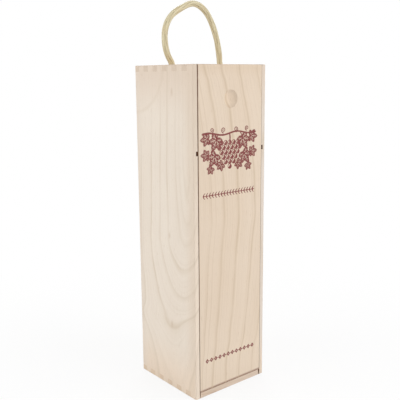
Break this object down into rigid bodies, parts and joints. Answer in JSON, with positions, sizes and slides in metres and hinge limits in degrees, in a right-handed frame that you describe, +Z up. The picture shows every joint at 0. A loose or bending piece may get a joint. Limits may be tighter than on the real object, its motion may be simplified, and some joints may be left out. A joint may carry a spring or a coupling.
{
  "type": "wine box",
  "caption": "Upright wooden box for one bottle: finger-jointed boards, a front lid that slides out upwards, a notched neck rest inside and a rope handle on top.",
  "frame": {"origin": "middle of the box's underside", "axes": "+Z up, -Y out of the lid, +X to the right as one looks at the lid"},
  "size_m": [0.099, 0.099, 0.4161],
  "materials": {
    "side_wood": "sanded bare pale softwood, face grain",
    "end_wood": "sanded bare pale softwood, finger ends show end grain",
    "lid_wood": "sanded bare pale softwood, straight face grain",
    "rope": "golden beige braided cord, satin"
  },
  "bodies": {
    "box": {"left_side": "side_wood", "right_side": "side_wood", "back_panel": "side_wood", "top_board": "end_wood", "bottom_board": "end_wood", "neck_rest": "side_wood", "rope_end_left": "rope", "rope_end_right": "rope"},
    "lid": {"lid": "lid_wood"},
    "handle": {"rope_handle": "rope"}
  },
  "joints": [
    {"name": "lid_slide", "type": "slide", "parent": "box", "child": "lid", "axis": [0, 0, 1], "range_m": [0, 0.35]},
    {"name": "handle_swing", "type": "hinge", "parent": "box", "child": "handle", "pos_m": [0, 0.0045, 0.3536], "axis": [-1, 0, 0], "range_deg": [-45, 85]}
  ]
}
